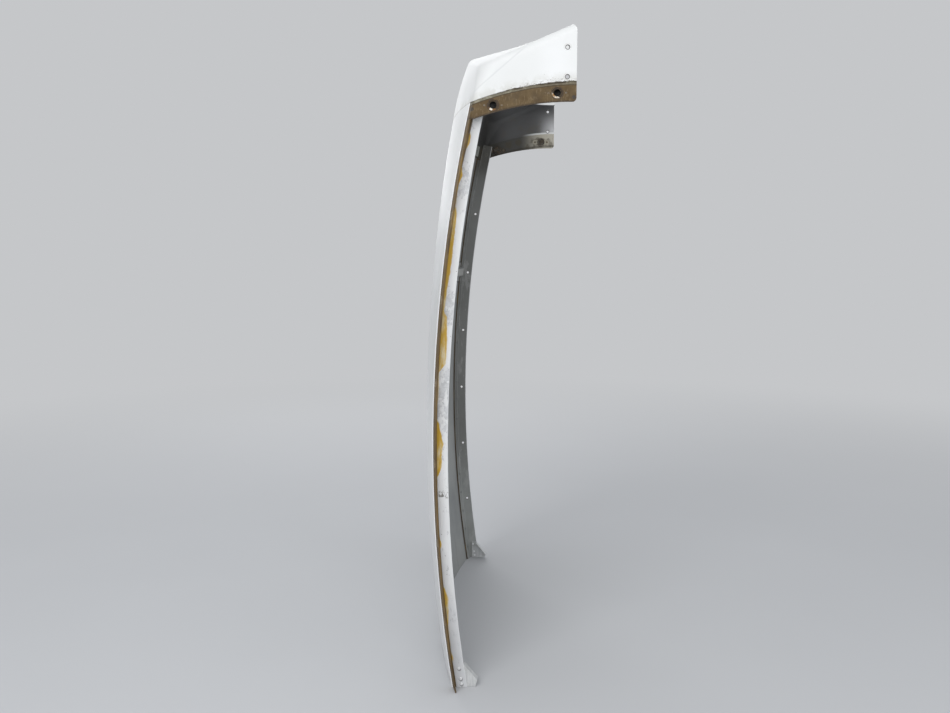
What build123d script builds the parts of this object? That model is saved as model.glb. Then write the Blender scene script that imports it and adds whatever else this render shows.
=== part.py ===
"""Upper engine cowling of a light piston aeroplane, standing on its aft edge.

Frame, in millimetres: +Z is forward on the aircraft and up as it stands, +X is down on the
aircraft, Y runs across it. The arched top faces -X and the engine space opens to +X.
The origin is on the floor, below the middle of the whole part.
"""

import os
from math import cos, radians, sin, sqrt, tan

from build123d import *

# Overall lines
half_width = 405.0  # middle to the outside of a cheek
skin_half_width = 380.0  # middle to the side edge of the top skin
crown_rise = 34.3  # crown above the side edges of the skin, at the fullest point
split_depth = 252.4  # from those side edges down to the split line of the nose
bow_z = 446.0  # height of the fullest point
edge_bow_radius = 2880.0
crown_bow_radius = 3600.0
seam_z = 1068.0  # top skin meets the nose cap
section_count = 12  # spans between the cross sections of a long smooth piece
rail_span = 60.0  # longest straight run of a rail between two cross sections
margin = 20.0  # how far cutting shapes reach past what they cut

# Sheet and moulding
skin_sheet = 1.6
strip_sheet = 2.2
rail_sheet = 1.6
bend_radius = 3.0
nose_wall = 3.0
lap_gap = 0.2  # paint and sealant between lapped sheets

# Nose cap
nose_tuck_z = 1090.0  # the crown starts to tuck down here
nose_tuck = 21.9  # how far it has tucked down at the front
shoulder_radius_aft = 8.0
shoulder_radius_front = 108.0
shoulder_start_z = 1078.0
front_z = 1215.0  # middle of the nose, at the split line
front_rake = 0.08  # rise of the front face for each mm of X, in the middle
front_curve_start = 86.0  # from the split line, where the front starts to curve to the crown
front_curve_rate = 0.00082
cheek_tip_drop = 16.5  # from the front in the middle to the tip of a cheek
cheek_rake = 0.44  # rise of the lip of a cheek for each mm of X
cheek_tip_round = (6.0, 22.0)  # rounding of the tip, along X and Z
front_lip_radius = 15.0
joggle_rise_z = 32.0  # the joggle line climbs this much along a cheek
joggle_run = 176.0  # length of the joggle line on a cheek, aft of the split line
flange_depth = 30.0  # of the joggled flange, over the crown and at its corners
flange_growth = 4.0  # more than that at the split line
flange_corner_radius = 7.0
spinner_radius = 150.0
inlet_half_width = 98.0
inlet_height = 84.0
inlet_y = 272.0
inlet_throat = 47.0  # depth of the returned inlet walls, from the front
spinner_throat = 19.0

# Landing strips and side rails
strip_width = 24.0
strip_slope = 13.0  # degrees, outboard of the skin edge
strip_lap = 22.0
strip_gap = 0.5  # between the top end of a strip and the nose flange
rail_flange = 20.0
rail_depth = 24.0
rail_inset = 1.5  # web of the rail, inboard of the skin edge
rail_end_gap = 3.5  # between the flange of a rail and the nose flange
rail_tab_height = 38.0  # how far the web reaches on into the nose cap
rail_tab_gap = 1.2  # between the tab of the web and the rail seat
rail_end_slant = 8.0
strip_hole_inset = 11.0  # from the outboard edge of a strip
strip_hole_radius = 5.5
strip_hole_start = 133.0
strip_hole_end_margin = 90.0  # least distance from the last hole to the end of a strip
rail_hole_radius = 2.75
rail_hole_start = 160.0
hole_pitch = 148.0
rail_hole_share = 0.57  # of the rail depth, from the skin

# Cross stiffener and nose joint
stiffener_drop = 314.0  # from the seam
stiffener_width = 48.0
stiffener_crown = 17.0
stiffener_height = 10.0
stiffener_slant = 4.0
stiffener_sheet = 1.2
stiffener_end_gap = 1.5  # from the flange of a rail
joint_strip_width = 24.0
joint_strip_end_gap = 10.5

# Aft gussets
gusset_sheet = 1.6
gusset_lap = 18.0
gusset_height = 42.0
gusset_reach = 19.0
gusset_tip = 12.0
gusset_toe = 4.0
gusset_flange = 18.0
gusset_rivet_heights = [6.0, 16.0, 36.0]
gusset_rivet_inset = 10.0

# Fasteners
rivet_radius = 1.6
rivet_fit = 0.05
rivet_head_radius = 2.9
rivet_head = 1.3
tail_gap = 0.4
tail_radius = 2.4
tail_height = 1.5
rail_rivet_pitch = 49.3
rail_rivet_start = 30.0
cross_rivet_pitch = 44.0
cross_rivet_edge = 6.0
screw_hole_radius = 3.3
screw_hole_inset = 16.0
screw_hole_drops = [91.0, 42.0]  # from the tip of a cheek
receptacle_bore_radius = 6.0
receptacle_floor = 1.0
receptacle_radius = 9.5
receptacle_fit = 0.15
receptacle_plate = 1.2
receptacle_barrel = 6.0
receptacle_insets = [143.0, 33.0]  # from the split line
receptacle_drop = 18.0  # from the joggle line
receptacle_rivet_offset = 15.0

# Side view, measured from the middle of the whole depth
crown_x = -(crown_rise + split_depth) / 2
edge_x = crown_x + crown_rise
split_x = edge_x + split_depth
joggle_start_x = split_x - joggle_run
cheek_tip_z = front_z - cheek_tip_drop
inlet_end_z = front_z - inlet_throat
spinner_end_z = front_z - spinner_throat
stiffener_z = seam_z - stiffener_drop
rail_flange_edge_y = skin_half_width - rail_inset - rail_flange


def bow(z, radius):
    """How far the side view has curved away from its fullest point at height z."""
    return radius - sqrt(radius**2 - (z - bow_z) ** 2)


def edge_at(z):
    """X of the outer surface at the side edge of the skin."""
    return edge_x + bow(z, edge_bow_radius)


def crown_at(z):
    """X of the outer surface in the middle."""
    share = max(0.0, z - nose_tuck_z) / (front_z - nose_tuck_z)
    return crown_x + bow(z, crown_bow_radius) + nose_tuck * share**2


def arch_radius(z):
    """Radius of the arch across the cowling at height z."""
    rise = edge_at(z) - crown_at(z)
    return (skin_half_width**2 + rise**2) / (2 * rise)


def arch_at(z, y):
    """X of the outer surface of the arch at height z and width y."""
    radius = arch_radius(z)
    return crown_at(z) + radius - sqrt(radius**2 - y**2)


def arch_band(z, depth_out, depth_in, half_span):
    """Sketch of a sheet that follows the arch, between two depths under its outer surface."""
    with BuildSketch(Plane.XY.offset(z)) as band:
        with BuildLine():
            end_x = arch_at(z, half_span)
            outer = ThreePointArc(
                (end_x + depth_out, -half_span),
                (crown_at(z) + depth_out, 0),
                (end_x + depth_out, half_span),
            )
            inner = ThreePointArc(
                (end_x + depth_in, half_span),
                (crown_at(z) + depth_in, 0),
                (end_x + depth_in, -half_span),
            )
            Line(outer @ 1, inner @ 0)
            Line(inner @ 1, outer @ 0)
        make_face()
    return band.sketch


def heights(top):
    """Heights of the cross sections that a long piece is lofted through."""
    return [top * step / section_count for step in range(section_count + 1)]


def shoulder_radius_at(z, inset):
    """Radius between the crown and a cheek, which grows towards the front."""
    share = max(0.0, z - shoulder_start_z) / (front_z - shoulder_start_z)
    grown = shoulder_radius_aft + (shoulder_radius_front - shoulder_radius_aft) * share
    return max(grown - inset, 1.0)


def nose_section(z, inset):
    """Cross section of the nose: arched crown, round shoulders and flat cheeks."""
    side = half_width - inset
    corner_x = arch_at(z, side) + inset
    open_x = split_x + inset
    with BuildSketch(Plane.XY.offset(z)) as section:
        with BuildLine():
            ThreePointArc((corner_x, -side), (crown_at(z) + inset, 0), (corner_x, side))
            Polyline((corner_x, side), (open_x, side), (open_x, -side), (corner_x, -side))
        make_face()
        corners = section.vertices().group_by(Axis.X)[0]
        fillet(corners, shoulder_radius_at(z, inset))
    return section.sketch


def front_section(x, inset):
    """What lies behind the front face, at a plane of constant X."""
    from_split = x - split_x
    drop = front_curve_rate * max(0.0, -from_split - front_curve_start) ** 2
    middle_z = front_z + front_rake * from_split - drop - inset
    lip_z = cheek_tip_z + cheek_rake * from_split - inset
    base_z = seam_z - 2 * flange_depth
    with BuildSketch(Plane.YZ.offset(x)) as section:
        with BuildLine():
            ThreePointArc((-half_width, lip_z), (0, middle_z), (half_width, lip_z))
            Polyline(
                (half_width, lip_z),
                (half_width, base_z),
                (-half_width, base_z),
                (-half_width, lip_z),
            )
        make_face()
    return section.sketch


def nose_tube(inset, top_z):
    """Nose without its front face, inset from the outer surface."""
    with BuildPart() as tube:
        for step in range(6):
            z = seam_z - 2 * flange_depth + step * (top_z - seam_z + 2 * flange_depth) / 5
            add(nose_section(z, inset))
        loft()
    return tube.part


def nose_envelope(inset):
    """Whole nose, inset from the outer surface: it gives the outside and the inside."""
    first_x = crown_x
    last_x = split_x + margin
    with BuildPart() as front:
        for step in range(7):
            add(front_section(first_x + step * (last_x - first_x) / 6, inset))
        loft()
    with BuildPart() as envelope:
        add(nose_tube(inset, front_z + margin / 4))
        add(front.part, mode=Mode.INTERSECT)
        face = envelope.faces().filter_by(lambda face: face.normal_at().Z > 0.7)
        rim = face.edges().filter_by(lambda edge: edge.center().X < split_x - 1)
        fillet(rim, max(front_lip_radius - inset, 1.0))
    return envelope.part


def joggle_z(x):
    """Height of the joggle line, which climbs along a cheek and is level over the crown."""
    share = min(max(x - joggle_start_x, 0) / joggle_run, 1)
    return seam_z + joggle_rise_z * (1 - (1 - share) ** 2)


def forward_of_joggle(offset, growth=0.0):
    """Everything forward of the joggle line, moved aft by offset, and by growth at the split."""
    shares = (0, 0.35, 0.7, 1)
    points = []
    for share in shares:
        x = joggle_start_x + share * joggle_run
        points.append((x, joggle_z(x) - offset - growth * share))
    top = front_z + 2 * margin
    with BuildPart() as forward:
        with BuildSketch(Plane.XZ):
            with BuildLine():
                line = Spline(*points)
                Polyline(
                    line @ 1,
                    (split_x + margin, joggle_z(split_x) - offset - growth),
                    (split_x + margin, top),
                    (crown_x - margin, top),
                    (crown_x - margin, seam_z - offset),
                    line @ 0,
                )
            make_face()
        extrude(amount=half_width + margin, both=True)
    return forward.part


def cheek_corners():
    """What is rounded off the two corners of each cheek at the split line."""
    round_x, round_z = cheek_tip_round
    low_z = joggle_z(split_x) - flange_depth - flange_growth
    with BuildPart() as corners:
        with BuildSketch(Plane.XZ.offset(-half_width - margin)):
            with BuildLine():
                tip = Spline(
                    (split_x - round_x, cheek_tip_z - cheek_rake * round_x),
                    (split_x - 0.3 * round_x, cheek_tip_z - 0.35 * round_z),
                    (split_x, cheek_tip_z - round_z),
                )
                Polyline(
                    tip @ 1,
                    (split_x + margin, cheek_tip_z - round_z),
                    (split_x + margin, front_z + margin),
                    (split_x - round_x, front_z + margin),
                    tip @ 0,
                )
            make_face()
            with BuildLine():
                low = RadiusArc(
                    (split_x - flange_corner_radius, low_z),
                    (split_x, low_z + flange_corner_radius),
                    -flange_corner_radius,
                )
                Polyline(low @ 1, (split_x + margin, low_z - margin), low @ 0)
            make_face()
        extrude(amount=half_width + margin - inlet_y - 0.97 * inlet_half_width)
        mirror(about=Plane.XZ)
    return corners.part


def inlet_openings(z, grown):
    """Half ovals of the two air inlets, open at the split line."""
    with BuildSketch(Plane.XY.offset(z)) as openings:
        with Locations((split_x, inlet_y), (split_x, -inlet_y)):
            Ellipse(inlet_height + grown, inlet_half_width + grown)
    return openings.sketch


def spinner_opening(z, grown):
    """Half round opening for the spinner."""
    with BuildSketch(Plane.XY.offset(z)) as opening:
        with Locations((split_x, 0)):
            Circle(spinner_radius + grown)
    return opening.sketch


def across(x, z):
    """Plane at the middle of the cowling that looks along Y, for drilling both sides at once."""
    return Plane(origin=(x, 0, z), x_dir=(1, 0, 0), z_dir=(0, 1, 0))


def inward(z, y, depth):
    """Plane on the arch, depth under its outer surface, that looks into the engine space."""
    slope_y = (arch_at(z, y + 1) - arch_at(z, y - 1)) / 2
    slope_z = (arch_at(z + 1, y) - arch_at(z - 1, y)) / 2
    return Plane(origin=(arch_at(z, y) + depth, y, z), z_dir=(1, -slope_y, -slope_z))


def spread(reach, pitch):
    """Evenly pitched places from -reach to reach."""
    count = int(2 * reach / pitch) + 1
    return [pitch * (step - (count - 1) / 2) for step in range(count)]


def rivet_tails(places, depth):
    """Bucked tails under the sheets. The flush heads lie under the paint of the skin."""
    with BuildPart() as tails:
        with Locations(*[inward(z, y, depth + tail_gap) for z, y in places]):
            Cylinder(tail_radius, tail_height, align=(Align.CENTER, Align.CENTER, Align.MIN))
    return tails.part


os.makedirs("parts", exist_ok=True)
pieces = []


def keep(piece, label):
    """Labels a finished part, writes it and remembers it."""
    piece.label = label
    export_step(piece, f"parts/{label}.step")
    pieces.append(piece)


def keep_pair(piece, label):
    """Keeps a part of the left side, at +Y, and its mirror image on the right."""
    keep(piece, f"left_{label}")
    keep(mirror(piece, about=Plane.XZ), f"right_{label}")


# Nose cap: one moulding with a joggled flange, and returned walls round its openings

joggle = skin_sheet + lap_gap
nose_outside = nose_envelope(0)
receptacle_places = [split_x - inset for inset in receptacle_insets]
receptacle_planes = [across(x, joggle_z(x) - receptacle_drop) for x in receptacle_places]
through = 2 * (half_width + margin)

with BuildPart() as nose_cavity:
    add(nose_envelope(nose_wall))
    add(forward_of_joggle(-nose_wall), mode=Mode.INTERSECT)

with BuildPart() as nose_flange:
    add(nose_tube(joggle, seam_z + 2 * flange_depth))
    add(forward_of_joggle(flange_depth, flange_growth), mode=Mode.INTERSECT)
    add(forward_of_joggle(-nose_wall), mode=Mode.SUBTRACT)
    add(nose_tube(joggle + nose_wall, seam_z + 2 * flange_depth), mode=Mode.SUBTRACT)
    add(nose_outside, mode=Mode.INTERSECT)

with BuildPart() as returned_walls:
    add(inlet_openings(inlet_end_z, nose_wall))
    extrude(amount=inlet_throat + margin)
    add(spinner_opening(spinner_end_z, nose_wall))
    extrude(amount=spinner_throat + margin)
    add(nose_outside, mode=Mode.INTERSECT)

with BuildPart() as nose_cap:
    add(nose_outside)
    add(forward_of_joggle(0), mode=Mode.INTERSECT)
    add(nose_cavity.part, mode=Mode.SUBTRACT)
    add(nose_tube(joggle + nose_wall, seam_z + 2 * flange_depth), mode=Mode.SUBTRACT)
    add(nose_flange.part)
    add(returned_walls.part)
    add(inlet_openings(inlet_end_z, 0))
    extrude(amount=inlet_throat + margin, mode=Mode.SUBTRACT)
    add(spinner_opening(spinner_end_z, 0))
    extrude(amount=spinner_throat + margin, mode=Mode.SUBTRACT)
    add(cheek_corners(), mode=Mode.SUBTRACT)
    with Locations(*[across(split_x - screw_hole_inset, cheek_tip_z - drop) for drop in screw_hole_drops]):
        Cylinder(screw_hole_radius, through, mode=Mode.SUBTRACT)
    with Locations(*receptacle_planes):
        Cylinder(receptacle_radius + receptacle_fit, through, mode=Mode.SUBTRACT)
        with Locations((receptacle_rivet_offset, 0), (-receptacle_rivet_offset, 0)):
            Cylinder(rivet_radius + rivet_fit, through, mode=Mode.SUBTRACT)

keep(nose_cap.part, "nose_cap")


# Top skin: an arched sheet, fuller in its crown near the nose

with BuildPart() as top_skin:
    for z in heights(seam_z):
        add(arch_band(z, 0, skin_sheet, skin_half_width))
    loft()

keep(top_skin.part, "top_skin")


# Landing strips: lapped under the skin edges, for the edges of the side doors to lie on

strip_end = joggle_z(joggle_start_x) - flange_depth - strip_gap
strip_edge_y = skin_half_width + strip_width
hole_count = int((strip_end - strip_hole_start - strip_hole_end_margin) / hole_pitch) + 1
hole_heights = [strip_hole_start + hole_pitch * step for step in range(hole_count)]


def strip_face(z, y):
    """X of the outer face of a landing strip, at height z and distance y from the middle."""
    outboard = max(0.0, y - skin_half_width)
    return arch_at(z, min(y, skin_half_width)) + joggle + outboard * tan(radians(strip_slope))


def strip_section(z):
    outline = [(strip_face(z, y), y) for y in (skin_half_width - strip_lap, skin_half_width, strip_edge_y)]
    inside = [(x + strip_sheet, y) for x, y in reversed(outline)]
    with BuildSketch(Plane.XY.offset(z)) as section:
        with BuildLine():
            Polyline(*outline, *inside, close=True)
        make_face()
    return section.sketch


with BuildPart() as landing_strip:
    for z in heights(strip_end):
        add(strip_section(z))
    loft()
    hole_y = strip_edge_y - strip_hole_inset
    slope = radians(strip_slope)
    hole_planes = [
        Plane(origin=(strip_face(z, hole_y), hole_y, z), z_dir=(cos(slope), -sin(slope), 0))
        for z in hole_heights
    ]
    with Locations(*hole_planes):
        Cylinder(strip_hole_radius, 4 * strip_sheet, mode=Mode.SUBTRACT)

keep_pair(landing_strip.part, "landing_strip")


# Side rails: angles riveted under the laps, with their webs down into the engine space.
# Only the left one has its row of holes.

rail_seat = joggle + strip_sheet + lap_gap
web_outside_y = skin_half_width - rail_inset
web_inside_y = web_outside_y - rail_sheet
rail_hole_heights = [rail_hole_start + hole_pitch * step for step in range(hole_count)]
rail_end_z = strip_end - rail_end_gap
tab_end_z = rail_end_z + rail_tab_height


def rail_end_x(z):
    """X of the free edge of a rail's web."""
    return edge_at(z) + rail_seat + rail_depth


def rail_section(z):
    flange_y = rail_flange_edge_y
    flange_x = arch_at(z, flange_y) + rail_seat
    corner_x = arch_at(z, web_outside_y) + rail_seat
    end_x = rail_end_x(z)
    with BuildSketch(Plane.XY.offset(z)) as section:
        with BuildLine():
            outside = FilletPolyline(
                (flange_x, flange_y),
                (corner_x, web_outside_y),
                (end_x, web_outside_y),
                radius=bend_radius + rail_sheet,
            )
            inside = FilletPolyline(
                (end_x, web_inside_y),
                (corner_x + rail_sheet, web_inside_y),
                (flange_x + rail_sheet, flange_y),
                radius=bend_radius,
            )
            Line(outside @ 1, inside @ 0)
            Line(inside @ 1, outside @ 0)
        make_face()
    return section.sketch


gusset_face_y = web_inside_y - lap_gap
gusset_inside_y = gusset_face_y - gusset_sheet
gusset_rivet_planes = [
    Plane(origin=(rail_end_x(z) - gusset_rivet_inset, gusset_inside_y, z), z_dir=(0, 1, 0))
    for z in gusset_rivet_heights
]
grip = web_outside_y - gusset_inside_y

with BuildPart() as side_rail:
    span_count = int(tab_end_z / rail_span) + 1
    for step in range(span_count + 1):
        add(rail_section(tab_end_z * step / span_count))
    loft(ruled=True)
    with BuildSketch(Plane.XZ):
        with BuildLine():
            Polyline(
                (crown_x, rail_end_z),
                (edge_at(rail_end_z) + rail_seat + rail_tab_gap, rail_end_z),
                (edge_at(tab_end_z) + rail_seat + rail_tab_gap, tab_end_z),
                (rail_end_x(tab_end_z) + margin, tab_end_z - rail_end_slant),
                (rail_end_x(tab_end_z) + margin, tab_end_z + margin),
                (crown_x, tab_end_z + margin),
                close=True,
            )
        make_face()
    extrude(amount=-half_width, mode=Mode.SUBTRACT)
    with Locations(*gusset_rivet_planes):
        Cylinder(rivet_radius + rivet_fit, 4 * grip, mode=Mode.SUBTRACT)

with BuildPart() as drilled_rail:
    add(side_rail.part)
    web_holes = [
        across(edge_at(z) + rail_seat + rail_hole_share * rail_depth, z) for z in rail_hole_heights
    ]
    with Locations(*web_holes):
        Cylinder(rail_hole_radius, through, mode=Mode.SUBTRACT)

keep(drilled_rail.part, "left_side_rail")
keep(mirror(side_rail.part, about=Plane.XZ), "right_side_rail")

rail_rivet_y = rail_flange_edge_y + (rail_flange - bend_radius) / 2
rail_rivet_count = int((rail_end_z - 2 * rail_rivet_start) / rail_rivet_pitch) + 1
rail_rivet_places = [
    (rail_rivet_start + step * rail_rivet_pitch, rail_rivet_y) for step in range(rail_rivet_count)
]
keep_pair(rivet_tails(rail_rivet_places, rail_seat + rail_sheet), "rail_rivets")


# Aft gussets: folded plates that stiffen the foot of each rail

with BuildPart() as aft_gusset:
    knee = Vector(rail_end_x(gusset_height), gusset_height)
    tip = Vector(rail_end_x(0) + gusset_reach, gusset_tip)
    along = (tip - knee).normalized()
    under = Vector(along.Y, -along.X) * gusset_sheet
    back_x = rail_end_x(0) - gusset_lap
    with BuildSketch(Plane.XZ.offset(-gusset_face_y)):
        with BuildLine():
            Polyline(
                (back_x, 0),
                (back_x, gusset_height),
                knee,
                tip,
                (tip.X - gusset_toe, 0),
                close=True,
            )
        make_face()
    extrude(amount=gusset_sheet)
    with BuildSketch(Plane.XZ.offset(-gusset_face_y)):
        with BuildLine():
            Polyline(knee, tip, tip + under, knee + under, close=True)
        make_face()
    extrude(amount=gusset_flange)
    folded = aft_gusset.edges().filter_by(lambda edge: abs(edge.length - (tip - knee).length) < 0.1)
    fillet(folded.sort_by(Axis.Y)[-1], gusset_sheet)
    with Locations(*gusset_rivet_planes):
        Cylinder(rivet_radius + rivet_fit, 4 * grip, mode=Mode.SUBTRACT)

keep_pair(aft_gusset.part, "aft_gusset")

with BuildPart() as gusset_rivets:
    with Locations(*gusset_rivet_planes):
        Cylinder(rivet_radius, grip, align=(Align.CENTER, Align.CENTER, Align.MIN))
        Cylinder(tail_radius, tail_height, align=(Align.CENTER, Align.CENTER, Align.MAX))
        with Locations((0, 0, grip)):
            Cone(rivet_head_radius, rivet_radius, rivet_head, align=(Align.CENTER, Align.CENTER, Align.MIN))

keep_pair(gusset_rivets.part, "gusset_rivets")


# Cross stiffener: a hat section that follows the arch

stiffener_half_span = rail_flange_edge_y - stiffener_end_gap
crown_edge = stiffener_crown / 2
foot_edge = crown_edge + stiffener_slant
hat_outline = [
    (-stiffener_width / 2, stiffener_sheet),
    (-foot_edge, stiffener_sheet),
    (-crown_edge, stiffener_height),
    (crown_edge, stiffener_height),
    (foot_edge, stiffener_sheet),
    (stiffener_width / 2, stiffener_sheet),
]
wall = stiffener_sheet * 1.2  # of the slanted sides, measured along Z
channel_outline = [
    (wall - foot_edge, 0),
    (wall - crown_edge, stiffener_height - stiffener_sheet),
    (crown_edge - wall, stiffener_height - stiffener_sheet),
    (foot_edge - wall, 0),
]

with BuildPart() as hat_channel:
    for step, depth in channel_outline:
        add(arch_band(stiffener_z + step, 0, joggle + depth, stiffener_half_span + margin))
    loft(ruled=True)

with BuildPart() as cross_stiffener:
    for step, depth in hat_outline:
        add(arch_band(stiffener_z + step, joggle, joggle + depth, stiffener_half_span))
    loft(ruled=True)
    add(hat_channel.part, mode=Mode.SUBTRACT)

keep(cross_stiffener.part, "cross_stiffener")

cross_rivet_y = spread(stiffener_half_span - 2 * cross_rivet_edge, cross_rivet_pitch)
stiffener_rows = [stiffener_width / 2 - cross_rivet_edge, cross_rivet_edge - stiffener_width / 2]
stiffener_rivet_places = [(stiffener_z + row, y) for row in stiffener_rows for y in cross_rivet_y]
keep(rivet_tails(stiffener_rivet_places, joggle + stiffener_sheet), "stiffener_rivets")


# Joint strip: it backs the lap of the top skin on the nose flange

joint_seat = joggle + nose_wall + lap_gap
joint_z = seam_z - flange_depth / 2
joint_strip_half_span = rail_flange_edge_y - joint_strip_end_gap

with BuildPart() as joint_strip:
    for z in (joint_z - joint_strip_width / 2, joint_z, joint_z + joint_strip_width / 2):
        add(arch_band(z, joint_seat, joint_seat + skin_sheet, joint_strip_half_span))
    loft()

keep(joint_strip.part, "joint_strip")

joint_rivet_places = [(joint_z, y) for y in cross_rivet_y]
keep(rivet_tails(joint_rivet_places, joint_seat + skin_sheet), "joint_rivets")


# Receptacles of the door fasteners, in the nose flange

flange_outside_y = half_width - joggle
flange_inside_y = flange_outside_y - nose_wall
plate_face_y = flange_inside_y - rivet_fit
plate_back_y = plate_face_y - receptacle_plate
plate_width = 2 * (receptacle_rivet_offset + 2 * rivet_head_radius)
plate_height = 4 * rivet_head_radius


def on_flange(y):
    """Planes at the receptacles, at distance y from the middle, that look outboard."""
    return [plane.offset(y) for plane in receptacle_planes]


upward = (Align.CENTER, Align.CENTER, Align.MIN)
with BuildPart() as receptacles:
    for plane in on_flange(plate_back_y):
        with BuildSketch(plane):
            SlotOverall(plate_width, plate_height)
        extrude(amount=receptacle_plate)
    with Locations(*on_flange(flange_inside_y - receptacle_barrel)):
        Cylinder(receptacle_radius, receptacle_barrel + nose_wall, align=upward)
        with Locations((0, 0, receptacle_floor)):
            Cylinder(receptacle_bore_radius, receptacle_barrel + nose_wall, align=upward, mode=Mode.SUBTRACT)
    with Locations(*on_flange(plate_back_y)):
        with Locations((receptacle_rivet_offset, 0), (-receptacle_rivet_offset, 0)):
            Cylinder(rivet_radius + rivet_fit, 2 * receptacle_plate, align=upward, mode=Mode.SUBTRACT)

keep_pair(receptacles.part, "receptacles")

with BuildPart() as receptacle_rivets:
    with Locations(*on_flange(plate_back_y)):
        with Locations((receptacle_rivet_offset, 0), (-receptacle_rivet_offset, 0)):
            Cylinder(rivet_radius, flange_outside_y - plate_back_y, align=upward)
            Cylinder(tail_radius, tail_height, align=(Align.CENTER, Align.CENTER, Align.MAX))

keep_pair(receptacle_rivets.part, "receptacle_rivets")

if __name__ == "__main__":
    for piece in pieces:
        box = piece.bounding_box()
        print(piece.label, round(piece.volume), piece.is_valid, len(piece.solids()), box.min, box.max)
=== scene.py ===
from math import radians, tau

import bmesh
import bpy
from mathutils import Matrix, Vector


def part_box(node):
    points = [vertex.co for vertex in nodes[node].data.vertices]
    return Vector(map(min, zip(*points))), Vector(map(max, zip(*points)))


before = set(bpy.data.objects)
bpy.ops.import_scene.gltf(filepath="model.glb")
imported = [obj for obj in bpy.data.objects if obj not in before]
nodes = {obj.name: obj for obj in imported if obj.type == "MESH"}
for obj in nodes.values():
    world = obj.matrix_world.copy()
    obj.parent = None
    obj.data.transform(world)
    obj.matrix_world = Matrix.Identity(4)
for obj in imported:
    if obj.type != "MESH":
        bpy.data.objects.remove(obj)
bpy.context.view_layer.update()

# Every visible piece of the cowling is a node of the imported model. This script gives each one
# its material, and adds only the floor, the lamps and the camera. Lengths are in metres, in the
# part's frame: +Z is up and forward on the aircraft, +X points to the engine, Y runs across.

scene = bpy.context.scene
scene.view_settings.view_transform = "Standard"


# ---------------------------------------------------------------- lines the finishes follow

SPLIT_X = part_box("nose_cap")[1][0]  # split line of the nose
SKIN_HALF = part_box("top_skin")[1][1]  # middle to the side edge of the top skin
SEAM_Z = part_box("top_skin")[1][2]  # top skin meets the nose cap
STIFFENER_Z = sum(corner_shade[2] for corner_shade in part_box("cross_stiffener")) / 2

# Side edge of the skin, in side view
BOW_Z = 0.446  # height of the fullest point
EDGE_BOW = 2.880  # radius
EDGE_X = SPLIT_X - 0.2524  # at the fullest point

# Nose cap
JOGGLE_RUN = 0.176
JOGGLE_RISE = 0.032
JOGGLE_START = SPLIT_X - JOGGLE_RUN
FLANGE_DEPTH = 0.030
FLANGE_GROWTH = 0.004
INLET_Y = 0.272
INLET_HALF_WIDTH = 0.098
INLET_HEIGHT = 0.084
INLET_END_Z = 1.168
SPINNER_RADIUS = 0.150
CHEEK_FACE_Y = 0.400  # the outer faces of the cheeks lie beyond this
INSIDE_NOSE = (0.10, 0.0, 1.10)  # outer faces look away from this point
FOLD_POINT = (0.0514, 1.1545)  # X and Z of a point on the crease of a cheek
FOLD_SLOPE = 0.84
SCREW_X = SPLIT_X - 0.016
SCREW_HEIGHTS = (1.1075, 1.1565)
SCREW_EDGE_RADIUS = 0.0043
SCREW_RUB_RADIUS = 0.0062
NICK = (0.139, 1.0735)  # X and Z of a dark nick in the flange
SHADED_CORNER = (-0.036, 1.0545)  # X and Z of a dark spot of painted shade at the aft corner of the flange
WEAVE_PITCH = 0.0016

# Receptacles in the flange
RECEPTACLE_X = (SPLIT_X - 0.143, SPLIT_X - 0.033)
RECEPTACLE_DROP = 0.018  # from the joggle line
RECEPTACLE_SPLIT = 0.06  # X between the two receptacles of a side
SEAT_RADIUS = 0.0102
CUP_RADIUS = 0.0092
CUP_RIM_RADIUS = 0.0090
CUP_FACE_Y = 0.40305
BORE_RADIUS = 0.00615
BORE_FLOOR_Y = 0.3949

# Rails and landing strips
RAIL_SEAT = 0.0042  # outer surface to the flange of a rail
RAIL_DEPTH = 0.024
RAIL_TOP = 1.05  # height that the places of stains and worn patches are shares of
HOLE_PITCH = 0.148
RAIL_HOLE_START = 0.160
RAIL_HOLE_DEPTH = 0.0137
RAIL_HOLE_RIM = 0.0036
STRIP_HOLE_START = 0.133
STRIP_HOLE_Y = 0.393
STRIP_HOLE_RIM = 0.0066
STRIP_HOLES_END = 0.90
GUSSET_RIVETS = (0.006, 0.016, 0.036)
GUSSET_RIVET_INSET = 0.0096

# Cross stiffener and the inside of the skin
STIFFENER_HALF = 0.0252  # middle to the edges of its feet
STIFFENER_CREST = 0.0088  # half the width of its flat crest
RAIL_CORNER = (0.352, 0.360)  # painted shade along the rail, by distance from the middle

# Flush rivets of the skin
RAIL_RIVET_START = 0.030
RAIL_RIVET_PITCH = 0.0493
RAIL_RIVET_END = 0.975
RAIL_RIVET_Y = 0.3675
CROSS_RIVET_PITCH = 0.044
CROSS_RIVET_REACH = 0.335
CROSS_RIVET_ROWS = (STIFFENER_Z + 0.018, STIFFENER_Z - 0.018, SEAM_Z - FLANGE_DEPTH / 2)
MARK_RADIUS = 0.0026
MARK_WIDTH = 0.0006


def joggle_at(x):
    """Height of the joggle line of the nose cap."""
    left = 1 - (x - JOGGLE_START) / JOGGLE_RUN
    return SEAM_Z + JOGGLE_RISE * (1 - left**2)


RECEPTACLES = [(x, joggle_at(x) - RECEPTACLE_DROP) for x in RECEPTACLE_X]
SCREWS = [(SCREW_X, height) for height in SCREW_HEIGHTS]
GLINT_POINT = (RECEPTACLES[0][0] - 0.0035, RECEPTACLES[0][1] - 0.0066)

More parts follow.
